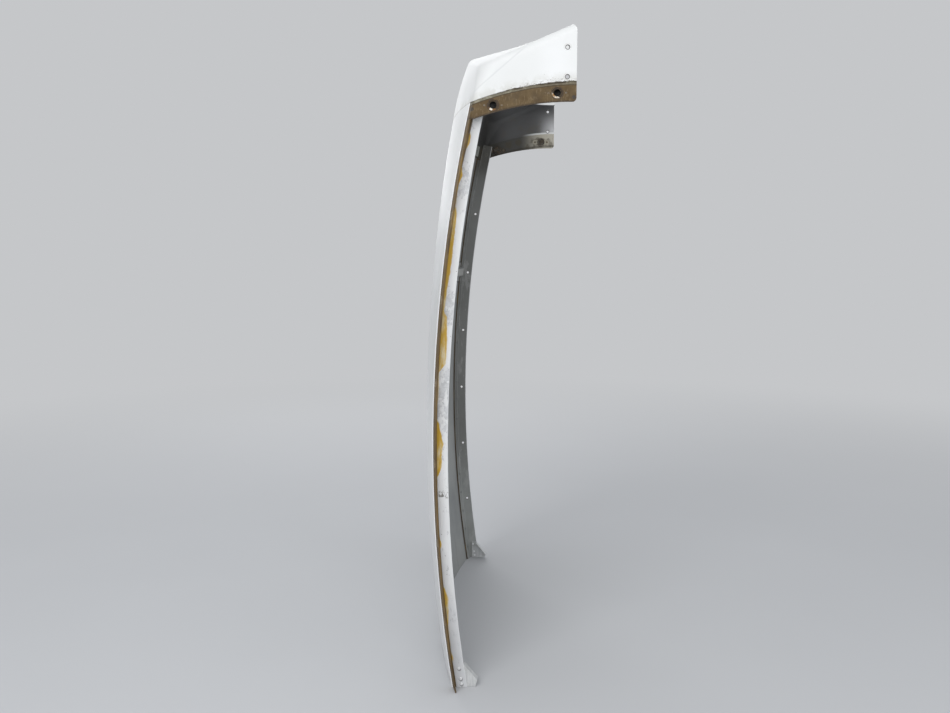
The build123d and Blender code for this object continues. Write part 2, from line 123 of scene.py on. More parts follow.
# Near rail, by share of RAIL_TOP: how worn its paint is, and how far adhesive stains reach
WORN_PATCHES = [
    (0.000, 0.30), (0.340, 0.25), (0.350, 0.60), (0.362, 0.25), (0.430, 0.30), (0.455, 0.85),
    (0.555, 0.95), (0.568, 0.30), (0.640, 0.30), (0.655, 0.95), (0.695, 0.95), (0.705, 0.20),
    (0.860, 0.20), (0.880, 0.95), (0.920, 0.95), (0.935, 0.35), (1.000, 0.60),
]
STAIN_REACH = [
    (0.000, 0.00), (0.046, 0.04), (0.055, 0.16), (0.066, 0.06), (0.112, 0.08), (0.134, 0.38),
    (0.160, 0.52), (0.186, 0.04), (0.252, 0.04), (0.264, 0.24), (0.278, 0.04), (0.382, 0.05),
    (0.395, 0.60), (0.440, 0.95), (0.472, 0.35), (0.482, 0.05), (0.566, 0.10), (0.580, 1.00),
    (0.605, 1.05), (0.660, 0.70), (0.672, 0.12), (0.705, 0.30), (0.760, 0.60), (0.832, 0.40),
    (0.846, 0.06), (0.884, 0.05), (0.900, 0.36), (0.914, 0.04), (0.942, 0.04), (0.950, 0.30),
    (0.962, 0.28), (0.970, 0.02),
]
STAIN_WIDTH = 0.0120  # of a stain with reach 1


# ---------------------------------------------------------------- colours

# White paint, with the painted highlight and shade on it
WHITE = (0.82, 0.83, 0.83)
OFF_WHITE = (0.70, 0.71, 0.70)
NOSE_OFF_WHITE = (0.74, 0.75, 0.74)
RAIL_WHITE = (0.86, 0.87, 0.87)
RAIL_OFF_WHITE = (0.80, 0.81, 0.82)
BARE_EDGE_HIGHLIGHT = (0.94, 0.95, 0.96)
LIP_WHITE = (0.74, 0.75, 0.76)
CREASE_SHADE = (0.52, 0.53, 0.54)

# Dirt and wear on the paint, and painted shade
SCUFF = (0.52, 0.52, 0.50)
MARK = (0.40, 0.40, 0.40)
SKIN_FOOT_SHADE = (0.50, 0.50, 0.51)
RAIL_FOOT_SHADE = (0.50, 0.51, 0.53)
SKIN_SEAM = (0.26, 0.25, 0.23)
NOSE_SEAM = (0.30, 0.29, 0.27)
CHIP = (0.16, 0.13, 0.09)
GRIME = (0.42, 0.40, 0.33)
SPECK = (0.14, 0.12, 0.10)
RAIL_SPECK = (0.13, 0.12, 0.10)
FLECK = (0.16, 0.15, 0.12)
HOLE_RUB = (0.40, 0.38, 0.33)
HOLE_SHADE = (0.030, 0.024, 0.018)

# Bare laminate, and the dark of nicks and of painted shade
BROWN = (0.088, 0.053, 0.017)
BROWN_LIGHT = (0.130, 0.086, 0.036)
BROWN_DARK = (0.050, 0.034, 0.018)
STRIP_BROWN = (0.118, 0.074, 0.028)
STRIP_LIGHT = (0.170, 0.113, 0.047)
STRIP_SCRATCH = (0.34, 0.28, 0.19)
STRIP_RIM = (0.40, 0.35, 0.27)
FLANGE_FIBRE = (0.30, 0.23, 0.14)
STRIP_FIBRE = (0.25, 0.20, 0.12)
OLIVE = (0.185, 0.170, 0.120)
OLIVE_LIGHT = (0.310, 0.290, 0.220)
OLIVE_BROWN = (0.125, 0.098, 0.058)
TORN = (0.060, 0.042, 0.026)
DARK_NICK_AND_SHADE = (0.045, 0.038, 0.032)

# Adhesive and sealant
OCHRE = (0.640, 0.390, 0.035)
OCHRE_PALE = (0.800, 0.660, 0.310)
SEALANT = (0.092, 0.056, 0.021)
SEALANT_LIGHT = (0.150, 0.098, 0.040)

# Primer and dirt of the inside, and painted light and shade
PRIMER = (0.36, 0.37, 0.36)
PRIMER_DARK = (0.27, 0.28, 0.28)
DRIP = (0.20, 0.20, 0.19)
CORNER_SHADE = (0.10, 0.10, 0.10)
FOOT_LINE = (0.06, 0.06, 0.06)
OIL_AND_SHADE = (0.11, 0.10, 0.085)
NOSE_INSIDE_HIGHLIGHT = (0.62, 0.62, 0.63)
NOSE_INSIDE_SHADE = (0.020, 0.019, 0.016)
NOSE_STAIN = (0.13, 0.115, 0.085)
LEDGE_HIGHLIGHT = (0.88, 0.89, 0.88)
FLANGE_DARK = (0.045, 0.040, 0.026)
FLANGE_BEIGE = (0.62, 0.58, 0.48)
FLANGE_STAIN = (0.085, 0.070, 0.045)
FLANGE_END = (0.045, 0.038, 0.028)
WEB = (0.34, 0.35, 0.34)
WEB_DARK = (0.26, 0.27, 0.26)
WEB_DIRTY = (0.110, 0.108, 0.100)
WEB_TOP = (0.085, 0.083, 0.072)
WEB_RUB = (0.46, 0.46, 0.45)
WEB_RIM = (0.15, 0.14, 0.12)
STIFFENER_WORN_AND_LIT = (0.30, 0.30, 0.285)
STIFFENER_BRIGHT = (0.42, 0.42, 0.40)
STIFFENER_FOOT = (0.12, 0.12, 0.11)

# Metal, and the painted highlights and shade of the receptacles
GUSSET_TONES = ((0.64, 0.65, 0.65), (0.54, 0.55, 0.55))
JOINT_STRIP_TONES = ((0.30, 0.31, 0.27), (0.22, 0.23, 0.20))
RAIL_RIVET = (0.40, 0.41, 0.41)
GUSSET_RIVET = (0.93, 0.94, 0.95)
STIFFENER_RIVET = (0.44, 0.45, 0.45)
JOINT_RIVET = (0.36, 0.37, 0.34)
RECEPTACLE_RIVET = (0.16, 0.115, 0.065)
BARE_METAL = (0.62, 0.63, 0.65)
BARE_METAL_DULL = (0.40, 0.41, 0.42)
SHEET_SMUDGE = (0.22, 0.22, 0.21)
SHEET_SCRATCH = (0.80, 0.81, 0.82)
RIVET_SHADOW = (0.14, 0.14, 0.14)
RIVET_GRIME = (0.15, 0.14, 0.12)
STEEL = (0.105, 0.096, 0.080)
STEEL_DARK = (0.055, 0.049, 0.041)
STEEL_RUST = (0.120, 0.070, 0.038)
EAR = (0.50, 0.47, 0.38)
CUP = (0.075, 0.052, 0.030)
CUP_DARK = (0.040, 0.030, 0.020)
CUP_LIT = (0.74, 0.68, 0.58)
CUP_LIT_AMBER = (0.34, 0.19, 0.075)
CUP_LIT_AMBER_AFT = (0.20, 0.10, 0.035)
GLINT = (0.78, 0.72, 0.62)
BORE_SOOT_AND_SHADE = (0.012, 0.011, 0.010)
SEAT_RUST_AND_SHADOW = (0.055, 0.032, 0.018)


# ---------------------------------------------------------------- node graphs


class Look:
    """Node graph of one material, written as short expressions.

    A mask is a number from 0 to 1. Every soft argument is half the width of the step from 0 to 1.
    """

    def __init__(self, name):
        self.mat = bpy.data.materials.new(name)
        self.mat.use_nodes = True
        self.tree = self.mat.node_tree
        self.shader = self.tree.nodes["Principled BSDF"]
        self.place = self.node("ShaderNodeTexCoord").outputs["Object"]
        parts = self.node("ShaderNodeSeparateXYZ", Vector=self.place)
        self.x, self.y, self.z = parts.outputs
        self.side = self.math("ABSOLUTE", self.y)  # distance from the middle plane
        self.normal = self.node("ShaderNodeNewGeometry").outputs["Normal"]

    def feed(self, socket, value):
        """Links a socket to an output, or sets its value."""
        if isinstance(value, bpy.types.NodeSocket):
            self.tree.links.new(value, socket)
        else:
            socket.default_value = value

    def node(self, kind, **inputs):
        made = self.tree.nodes.new(kind)
        for name, value in inputs.items():
            self.feed(made.inputs[name.replace("_", " ")], value)
        return made

    # Numbers

    def math(self, operation, *values, clamp=False):
        made = self.tree.nodes.new("ShaderNodeMath")
        made.operation = operation
        made.use_clamp = clamp
        for socket, value in zip(made.inputs, values):
            self.feed(socket, value)
        return made.outputs[0]

    def add(self, a, b):
        return self.math("ADD", a, b)

    def sub(self, a, b):
        return self.math("SUBTRACT", a, b)

    def mul(self, a, b):
        return self.math("MULTIPLY", a, b)

    def share(self, value, start, run):
        """Share of the run from start that the value has covered, from 0 to 1."""
        return self.math("DIVIDE", self.sub(value, start), run, clamp=True)

    def away(self, value, level):
        return self.math("ABSOLUTE", self.sub(value, level))

    def radius(self, u, v):
        return self.math("SQRT", self.add(self.mul(u, u), self.mul(v, v)))

    def dot(self, a, b):
        made = self.node("ShaderNodeVectorMath")
        made.operation = "DOT_PRODUCT"
        self.feed(made.inputs[0], a)
        self.feed(made.inputs[1], b)
        return made.outputs["Value"]

    def from_row(self, value, first, pitch):
        """Signed distance from the nearest place of an evenly pitched row."""
        ahead = pitch * 10.5  # keeps the remainder positive, and puts each place at mid pitch
        remainder = self.math("MODULO", self.add(self.sub(value, first), ahead), pitch)
        return self.sub(remainder, pitch / 2)

    def ramp(self, value, low, high, to_low=0.0, to_high=1.0):
        made = self.node("ShaderNodeMapRange", Value=value, From_Min=low, From_Max=high)
        made.interpolation_type = "SMOOTHSTEP"
        made.inputs["To Min"].default_value = to_low
        made.inputs["To Max"].default_value = to_high
        return made.outputs["Result"]

    def steps(self, value, stops):
        """A number that runs through (place, level) stops, for places from 0 to 1."""
        made = self.node("ShaderNodeValToRGB", Fac=value)
        elements = made.color_ramp.elements
        while len(elements) < len(stops):
            elements.new(0.5)
        for element, (place, level) in zip(elements, stops):
            element.position = place
            element.color = (level, level, level, 1)
        return made.outputs["Color"]

    # Masks

    def above(self, value, level, soft):
        return self.ramp(value, level - soft, level + soft)

    def below(self, value, level, soft):
        return self.ramp(value, level - soft, level + soft, 1.0, 0.0)

    def between(self, value, low, high, soft):
        return self.mul(self.above(value, low, soft), self.below(value, high, soft))

    def near(self, value, level, reach, soft):
        return self.below(self.away(value, level), reach, soft)

    def ring(self, u, v, radius, width):
        """Thin ring round the origin of u and v."""
        return self.near(self.radius(u, v), radius, width, width * 0.5)

    def disc(self, u, v, radius, soft):
        return self.below(self.radius(u, v), radius, soft)

    def every(self, *masks):
        out = masks[0]
        for mask in masks[1:]:
            out = self.mul(out, mask)
        return out

    def either(self, *masks):
        out = masks[0]
        for mask in masks[1:]:
            out = self.math("MAXIMUM", out, mask)
        return out

    def invert(self, mask):
        return self.sub(1.0, mask)

    # Textures

    def moved(self, shift, stretch=(1, 1, 1)):
        """Place in the part, stretched and shifted, so that two like textures differ."""
        mapping = self.node("ShaderNodeMapping", Vector=self.place)
        mapping.inputs["Scale"].default_value = stretch
        mapping.inputs["Location"].default_value = (shift, shift * 0.7, shift * 1.3)
        return mapping.outputs["Vector"]

    def noise(self, scale, detail=3.0, rough=0.55, stretch=(1, 1, 1), shift=0.0):
        made = self.node("ShaderNodeTexNoise", Vector=self.moved(shift, stretch))
        made.inputs["Scale"].default_value = scale
        made.inputs["Detail"].default_value = detail
        made.inputs["Roughness"].default_value = rough
        return made.outputs["Fac"]

    def patches(self, scale, over, soft, **texture):
        """Irregular patches, where a noise texture rises over a level."""
        return self.above(self.noise(scale, **texture), over, soft)

    def spots(self, scale, size, soft, shift=0.0):
        """Small round flecks, from the cells of a Voronoi texture."""
        made = self.node("ShaderNodeTexVoronoi", Vector=self.moved(shift))
        made.inputs["Scale"].default_value = scale
        return self.below(made.outputs["Distance"], size, soft)

    def weave(self):
        """Height of a plain glass weave under resin."""
        turn = tau / WEAVE_PITCH
        run = self.math("SINE", self.mul(self.add(self.x, self.y), turn))
        cross = self.math("SINE", self.mul(self.z, turn))
        return self.mul(run, cross)

    # Colours

    def mix(self, share, a, b):
        made = self.tree.nodes.new("ShaderNodeMix")
        made.data_type = "RGBA"
        self.feed(made.inputs[0], share)
        for socket, value in ((made.inputs[6], a), (made.inputs[7], b)):
            self.feed(socket, value if isinstance(value, bpy.types.NodeSocket) else (*value, 1.0))
        return made.outputs[2]

    def blend(self, share, a, b):
        """As mix, for numbers."""
        made = self.tree.nodes.new("ShaderNodeMix")
        made.data_type = "FLOAT"
        for socket, value in zip(made.inputs, (share, None, a, b)):
            if value is not None:
                self.feed(socket, value)
        return made.outputs[0]

    def shades(self, pattern, low, high, a, b):
        """From colour a to colour b as a pattern rises from low to high."""
        return self.mix(self.ramp(pattern, low, high), a, b)

    def over(self, base, colour, mask, strength):
        """Colour laid over the base where the mask is, at most at that strength."""
        return self.mix(self.mul(mask, strength), base, colour)

    # Lines and points of the part

    def from_point(self, point):
        """Distances in X and Z from a point of the side view."""
        x, z = point
        return self.sub(self.x, x), self.sub(self.z, z)

    def above_joggle(self):
        """Height above the joggle line of the nose cap."""
        left = self.invert(self.share(self.x, JOGGLE_START, JOGGLE_RUN))
        line = self.add(SEAM_Z + JOGGLE_RISE, self.mul(self.mul(left, left), -JOGGLE_RISE))
        return self.sub(self.z, line)

    def from_edge(self):
        """Distance in X from the side edge of the skin, at this height."""
        rise = self.sub(self.z, BOW_Z)
        root = self.math("SQRT", self.sub(EDGE_BOW**2, self.mul(rise, rise)))
        return self.sub(self.x, self.sub(EDGE_X + EDGE_BOW, root))

    def finish(self, colour, rough, metal=0.0, bump=None, depth=0.0003, specular=0.5):
        """Feeds the shader and gives the material. Depth is that of the bump, in metres."""
        inputs = self.shader.inputs
        self.feed(inputs["Base Color"], colour)
        self.feed(inputs["Roughness"], rough)
        self.feed(inputs["Metallic"], metal)
        inputs["Specular IOR Level"].default_value = specular
        if bump is not None:
            made = self.node("ShaderNodeBump", Height=bump, Strength=1.0, Distance=depth)
            self.feed(inputs["Normal"], made.outputs["Normal"])
        return self.mat


# ---------------------------------------------------------------- top skin


def rivet_marks(m):
    """Faint rings of the flush rivets through the paint of the top skin."""
    along = m.from_row(m.z, RAIL_RIVET_START, RAIL_RIVET_PITCH)
    rail = m.ring(along, m.sub(m.side, RAIL_RIVET_Y), MARK_RADIUS, MARK_WIDTH)
    rail = m.mul(rail, m.below(m.z, RAIL_RIVET_END, 0.001))
    across = m.from_row(m.side, CROSS_RIVET_PITCH / 2, CROSS_RIVET_PITCH)
    rows = [m.ring(across, m.sub(m.z, row), MARK_RADIUS, MARK_WIDTH) for row in CROSS_RIVET_ROWS]
    inner = m.below(m.side, CROSS_RIVET_REACH, 0.001)
    return m.either(rail, m.mul(m.either(*rows), inner))


def skin_outside(m, clouds, rings):
    white = m.shades(clouds, 0.35, 0.70, WHITE, OFF_WHITE)
    scuffs = m.patches(30, over=0.62, soft=0.05, detail=5.0, rough=0.7, stretch=(1, 0.7, 0.5))
    white = m.over(white, SCUFF, scuffs, 0.18)
    white = m.over(white, MARK, rings, 0.30)
    # Painted shade: the white paint darkens towards the bottom of the skin
    white = m.mix(m.ramp(m.z, 0.04, 0.50, 0.38, 0.0), white, SKIN_FOOT_SHADE)
    white = m.over(white, SKIN_SEAM, m.near(m.z, SEAM_Z + 0.0002, 0.0007, 0.0004), 0.55)
    aft = m.mul(m.below(m.z, 0.012, 0.006), m.patches(70, over=0.48, soft=0.05, detail=4.0))
    return m.over(white, NOSE_SEAM, aft, 0.5)


def skin_inside(m):
    dull = m.shades(m.noise(6, detail=4.0, rough=0.6), 0.3, 0.75, PRIMER, PRIMER_DARK)
    drips = m.patches(
        22, over=0.60, soft=0.06, detail=4.0, rough=0.65, stretch=(1, 1, 0.12), shift=3.0
    )
    dull = m.over(dull, DRIP, drips, 0.35)
    low, high = RAIL_CORNER
    corner_shade = m.mul(m.above(m.side, low, 0.004), m.below(m.side, high, 0.003))
    # Painted shade in the corner between the skin and the rail
    dull = m.over(dull, CORNER_SHADE, corner_shade, 0.6)
    feet = m.near(m.away(m.z, STIFFENER_Z), STIFFENER_HALF, 0.0012, 0.0006)
    dull = m.over(dull, FOOT_LINE, m.mul(feet, m.below(m.side, 0.358, 0.001)), 0.8)
    # Oil, and painted shade: dark patches inside the skin near the nose
    oil_and_shade_patches = m.patches(14, over=0.44, soft=0.09, detail=4.0, rough=0.6, shift=7.0)
    return m.over(dull, OIL_AND_SHADE, m.mul(m.above(m.z, 0.98, 0.05), oil_and_shade_patches), 0.55)


def make_skin():
    m = Look("skin_paint")
    inside = m.above(m.dot(m.normal, (1, 0, 0)), 0.35, 0.05)
    rings = rivet_marks(m)
    clouds = m.noise(3.0)
    colour = m.mix(inside, skin_outside(m, clouds, rings), skin_inside(m))
    # Bare light edge of the skin, with a painted highlight along it
    colour = m.mix(m.above(m.side, SKIN_HALF - 0.0012, 0.0006), colour, BARE_EDGE_HIGHLIGHT)
    rough = m.blend(inside, m.ramp(clouds, 0.3, 0.7, 0.44, 0.56), 0.62)
    height = m.add(m.mul(rings, -0.5), m.mul(m.noise(160, detail=2.0), 0.05))
    return m.finish(colour, rough, bump=height, depth=0.0002, specular=0.35)


# ---------------------------------------------------------------- nose cap


def inlet_walls(m):
    """Walls of the inlets and of the spinner opening that the air passes."""
    along = m.math("DIVIDE", m.sub(m.x, SPLIT_X), INLET_HEIGHT)
    across = m.math("DIVIDE", m.sub(m.side, INLET_Y), INLET_HALF_WIDTH)
    oval = m.add(m.mul(along, along), m.mul(across, across))
    inlet = m.below(oval, 1.02, 0.005)
    spinner = m.below(m.radius(m.sub(m.x, SPLIT_X), m.y), SPINNER_RADIUS + 0.0006, 0.0003)
    return m.mul(m.either(inlet, spinner), m.above(m.z, INLET_END_Z + 0.001, 0.0004))


def nose_paint(m, above, clouds):
    """White paint, chipped and dirty along the joggle, with painted shade along the crease of the
    cheek.
    """
    white = m.shades(clouds, 0.35, 0.70, WHITE, NOSE_OFF_WHITE)
    chipped = m.every(
        m.below(above, 0.0040, 0.0030),
        m.above(m.x, 0.030, 0.03),
        m.patches(190, over=0.55, soft=0.02, detail=5.0, rough=0.75, stretch=(0.6, 1, 1.8)),
    )
    strays = m.every(
        m.between(m.x, 0.085, 0.132, 0.006),
        m.below(above, 0.016, 0.008),
        m.patches(
            170, over=0.63, soft=0.02, detail=5.0, rough=0.75, stretch=(0.7, 1, 1.5), shift=3.0
        ),
    )
    white = m.over(white, CHIP, m.either(chipped, strays), 0.9)
    grime = m.mul(m.below(above, 0.010, 0.010), m.patches(60, over=0.50, soft=0.08, detail=4.0))
    white = m.over(white, GRIME, grime, 0.30)
    specks = m.mul(m.spots(95, 0.07, 0.03), m.patches(25, over=0.62, soft=0.02, detail=2.0))
    white = m.over(white, SPECK, specks, 0.75)
    seam = m.mul(m.near(above, 0.0, 0.0009, 0.0005), m.below(m.side, 0.398, 0.002))
    white = m.over(white, NOSE_SEAM, seam, 0.4)
    # Painted shade along the crease where the crown turns into the cheek
    along, rise = m.from_point(FOLD_POINT)
    from_fold = m.sub(rise, m.mul(along, FOLD_SLOPE))
    crease_shade = m.every(
        m.near(from_fold, 0.0, 0.0016, 0.0012),
        m.between(m.x, -0.030, 0.052, 0.010),
        m.above(m.side, 0.394, 0.003),
    )
    return m.over(white, CREASE_SHADE, crease_shade, 0.30)


def nose_laminate(m, above, ragged):
    """Bare flange: an olive band under the paint, and brown laminate below it."""
    olive = m.mix(m.patches(120, over=0.52, soft=0.08, detail=4.0), OLIVE, OLIVE_LIGHT)
    olive = m.over(olive, OLIVE_BROWN, m.ramp(m.x, -0.02, 0.10), 0.6)
    brown = m.shades(m.noise(42, detail=5.0, rough=0.65), 0.34, 0.68, BROWN, BROWN_LIGHT)
    blotches = m.patches(30, over=0.58, soft=0.06, detail=4.0, rough=0.6, shift=5.0)
    brown = m.over(brown, BROWN_DARK, blotches, 0.35)
    growth = m.mul(m.share(m.x, JOGGLE_START, JOGGLE_RUN), FLANGE_GROWTH)
    from_lower_edge = m.add(m.add(above, FLANGE_DEPTH), growth)
    brown = m.over(brown, BROWN_DARK, m.below(from_lower_edge, 0.0024, 0.0010), 0.7)
    nick = m.disc(*m.from_point(NICK), 0.0035, 0.0010)
    corner_shade = m.disc(*m.from_point(SHADED_CORNER), 0.0034, 0.0008)
    # A dark nick, and a dark spot of painted shade at the aft corner of the flange
    brown = m.over(brown, DARK_NICK_AND_SHADE, m.either(nick, corner_shade), 0.9)
    fibres = m.patches(420, over=0.62, soft=0.04, detail=2.0, rough=0.5, stretch=(1, 1, 0.3))
    brown = m.over(brown, FLANGE_FIBRE, fibres, 0.2)
    shadow = m.between(m.add(above, m.mul(ragged, 0.3)), -0.0062, -0.0046, 0.0005)
    brown = m.over(brown, BROWN_DARK, shadow, 0.85)
    band = m.above(m.add(above, m.mul(ragged, 0.4)), -0.0046, 0.0006)
    torn = m.every(
        m.above(above, -0.0030, 0.0012),
        m.ramp(m.x, -0.01, 0.05),
        m.patches(
            120, over=0.47, soft=0.04, detail=4.0, rough=0.7, stretch=(0.5, 1, 1.6), shift=8.0
        ),
    )
    return m.over(m.mix(band, brown, olive), TORN, torn, 0.85)


def nose_inside(m, above):
    """Dull inside, with painted light near the split line and painted shade near the crown."""
    forward = m.share(m.x, -0.040, 0.184)
    grey = m.steps(
        forward, [(0.0, 0.095), (0.25, 0.120), (0.45, 0.130), (0.65, 0.112), (1.0, 0.130)]
    )
    # Painted light: the inside turns pale towards the split line
    highlight = m.mul(m.ramp(forward, 0.74, 1.0), m.ramp(above, 0.004, 0.060, 1.0, 0.0))
    grey = m.mix(highlight, grey, NOSE_INSIDE_HIGHLIGHT)
    # Painted shade: darker near the crown, at the sides
    crown_shade = m.mul(m.above(m.side, 0.335, 0.02), m.below(m.x, 0.0, 0.03))
    grey = m.over(grey, NOSE_INSIDE_SHADE, crown_shade, 0.75)
    stains = m.patches(26, over=0.60, soft=0.05, detail=5.0, rough=0.65, shift=2.0)
    grey = m.over(grey, NOSE_STAIN, stains, 0.30)
    # Painted highlight along the ledge of the joggle, inside the cheek
    ledge_highlight = m.mul(m.between(above, 0.0008, 0.0058, 0.0006), m.ramp(m.x, 0.06, 0.10))
    grey = m.over(grey, LEDGE_HIGHLIGHT, ledge_highlight, 0.9)
    flange = m.below(above, 0.0015, 0.0010)
    grey = m.over(grey, FLANGE_DARK, flange, 0.55)
    grey = m.over(grey, FLANGE_BEIGE, m.mul(flange, m.ramp(m.x, 0.055, 0.115)), 0.85)
    dirty = m.mul(m.below(above, -0.004, 0.003), m.patches(55, over=0.52, soft=0.05, detail=4.0))
    grey = m.over(grey, FLANGE_STAIN, dirty, 0.55)
    return m.over(grey, FLANGE_END, m.between(above, -0.0315, -0.0262, 0.0012), 0.6)


def nose_holes(m, colour):
    """Painted shade round the screw holes, and rust with a painted shadow line round the
    receptacles.
    """
    outer_face = m.above(m.side, CHEEK_FACE_Y, 0.001)
    holes = []
    for screw in SCREWS:
        u, v = m.from_point(screw)
        holes.append(m.mul(m.disc(u, v, SCREW_EDGE_RADIUS, 0.0003), outer_face))
        rub = m.patches(160, over=0.44, soft=0.08, detail=4.0, rough=0.65, shift=screw[1])
        halo = m.every(m.ring(u, v, SCREW_RUB_RADIUS, 0.0006), rub, outer_face)
        colour = m.over(colour, HOLE_RUB, halo, 0.30)
    # Painted shade: a dark ring and wall at each screw hole
    colour = m.over(colour, HOLE_SHADE, m.either(*holes), 0.95)
    for receptacle in RECEPTACLES:
        rim = m.ring(*m.from_point(receptacle), SEAT_RADIUS, 0.0010)
        # Rust, and a painted shadow line, on a thin ring round each receptacle
        colour = m.over(colour, SEAT_RUST_AND_SHADOW, m.mul(rim, m.patches(180, over=0.46, soft=0.06)), 0.8)
    return colour


def make_nose():
    m = Look("nose_laminate")
    from_middle = m.node("ShaderNodeVectorMath", Vector=m.place)
    from_middle.operation = "SUBTRACT"
    from_middle.inputs[1].default_value = INSIDE_NOSE
    outside = m.above(m.dot(m.normal, from_middle.outputs[0]), 0.0, 0.004)
    walls = inlet_walls(m)
    outside = m.either(outside, walls)
    above = m.above_joggle()
    tears = m.sub(m.noise(110, detail=4.0, rough=0.7, stretch=(0.6, 1, 1)), 0.5)
    ragged = m.mul(tears, m.ramp(m.x, -0.02, 0.06, 0.0030, 0.0075))
    painted = m.either(m.above(m.add(above, ragged), 0.0, 0.0003), walls)
    clouds = m.noise(4.0)
    outer = m.mix(painted, nose_laminate(m, above, ragged), nose_paint(m, above, clouds))
    colour = nose_holes(m, m.mix(outside, nose_inside(m, above), outer))
    gloss = m.mul(painted, outside)
    rough = m.blend(gloss, 0.62, m.ramp(clouds, 0.3, 0.7, 0.42, 0.54))
    weave = m.mul(m.weave(), m.invert(gloss))
    height = m.add(m.mul(weave, 0.25), m.mul(painted, 0.6))
    height = m.add(height, m.mul(m.noise(220, detail=2.0), 0.08))
    return m.finish(colour, rough, bump=height, depth=0.00015, specular=0.35)


# ---------------------------------------------------------------- strips, rails and fittings


def make_strip():
    m = Look("strip_laminate")
    grain = m.noise(36, detail=5.0, rough=0.65, stretch=(1, 1, 0.35))
    brown = m.shades(grain, 0.32, 0.68, STRIP_BROWN, STRIP_LIGHT)
    dark = m.patches(
        20, over=0.56, soft=0.07, detail=4.0, rough=0.6, stretch=(1, 1, 0.4), shift=4.0
    )
    brown = m.over(brown, BROWN_DARK, dark, 0.6)
    fibres = m.patches(420, over=0.62, soft=0.04, detail=2.0, rough=0.5, stretch=(1, 1, 0.25))
    brown = m.over(brown, STRIP_FIBRE, fibres, 0.25)
    # Painted shadow along the edge of the strip next to the skin
    skin_edge_shadow = m.mul(
        m.below(m.side, SKIN_HALF + 0.004, 0.0015),
        m.patches(45, over=0.35, soft=0.06, rough=0.6, stretch=(1, 1, 0.5)),
    )
    brown = m.over(brown, BROWN_DARK, skin_edge_shadow, 0.75)
    glue = m.patches(
        26, over=0.64, soft=0.03, detail=5.0, rough=0.6, stretch=(1, 1, 0.5), shift=9.0
    )
    brown = m.over(brown, OCHRE, glue, 0.12)
    scratches = m.patches(300, over=0.68, soft=0.02, detail=2.0, rough=0.5, stretch=(1, 1, 0.04))
    brown = m.over(brown, STRIP_SCRATCH, scratches, 0.35)
    along = m.from_row(m.z, STRIP_HOLE_START, HOLE_PITCH)
    rim = m.ring(along, m.sub(m.side, STRIP_HOLE_Y), STRIP_HOLE_RIM, 0.0012)
    brown = m.over(brown, STRIP_RIM, m.mul(rim, m.below(m.z, STRIP_HOLES_END, 0.001)), 0.55)
    height = m.add(m.mul(m.weave(), 0.3), m.mul(m.noise(130, detail=4.0), 0.6))
    return m.finish(brown, 0.66, bump=height, depth=0.00025, specular=0.3)


def rail_paint(m, share_z, worn):
    """White paint of the outboard face, worn to metal in patches."""
    white = m.shades(m.noise(12, detail=4.0), 0.3, 0.7, RAIL_WHITE, RAIL_OFF_WHITE)
    # Painted shade: the white paint darkens towards the bottom of the rail
    white = m.mix(m.ramp(m.z, 0.06, 0.30, 0.62, 0.0), white, RAIL_FOOT_SHADE)
    metal = m.shades(m.noise(140, detail=4.0, rough=0.6), 0.35, 0.7, BARE_METAL, BARE_METAL_DULL)
    face = m.over(white, metal, worn, 0.68)
    specks = m.mul(m.between(share_z, 0.345, 0.356, 0.003), m.patches(210, over=0.52, soft=0.04))
    face = m.over(face, RAIL_SPECK, specks, 0.85)
    flecks = m.spots(120, 0.10, 0.04, shift=1.7)
    flecks = m.mul(flecks, m.patches(18, over=0.55, soft=0.04, detail=2.0))
    return m.over(face, FLECK, flecks, 0.8)


def rail_stains(m, across, share_z):
    """Masks of the adhesive, of its streaks and of the sealant along the root of the web."""
    reach = m.steps(share_z, STAIN_REACH)
    wander = m.sub(m.noise(38, detail=4.0, rough=0.6, stretch=(1, 1, 0.6), shift=6.0), 0.5)
    limit = m.add(m.mul(reach, STAIN_WIDTH), m.mul(wander, 0.010))
    band = m.ramp(m.z, 0.93, 1.03, 0.0042, 0.0078)
    glue = m.ramp(m.sub(limit, m.sub(across, band)), -0.0008, 0.0008)
    glue = m.mul(glue, m.above(reach, 0.08, 0.06))
    streaks = m.patches(
        48, over=0.42, soft=0.12, detail=5.0, rough=0.7, stretch=(1, 1, 0.25), shift=2.5
    )
    edge = m.sub(m.add(across, m.mul(m.sub(streaks, 0.5), 0.0006)), band)
    return glue, streaks, m.below(edge, 0.0003, 0.0006)


def rail_inside(m, across):
    """Dull inboard face of the web, darker towards the top."""
    dull = m.shades(m.noise(8, detail=4.0, rough=0.6), 0.3, 0.75, WEB, WEB_DARK)
    dull = m.mix(m.ramp(m.z, 0.12, 0.40, 0.0, 0.60), dull, WEB_DIRTY)
    dull = m.mix(m.ramp(m.z, 0.97, 1.03), dull, WEB_TOP)
    rub = m.patches(60, over=0.60, soft=0.04, detail=5.0, rough=0.7, stretch=(1, 1, 0.3), shift=8.0)
    dull = m.over(dull, WEB_RUB, rub, 0.35)
    along = m.from_row(m.z, RAIL_HOLE_START, HOLE_PITCH)
    rim = m.ring(along, m.sub(across, RAIL_HOLE_DEPTH), RAIL_HOLE_RIM, 0.0008)
    return m.over(dull, WEB_RIM, m.mul(rim, m.above(m.y, 0.0, 0.001)), 0.6)


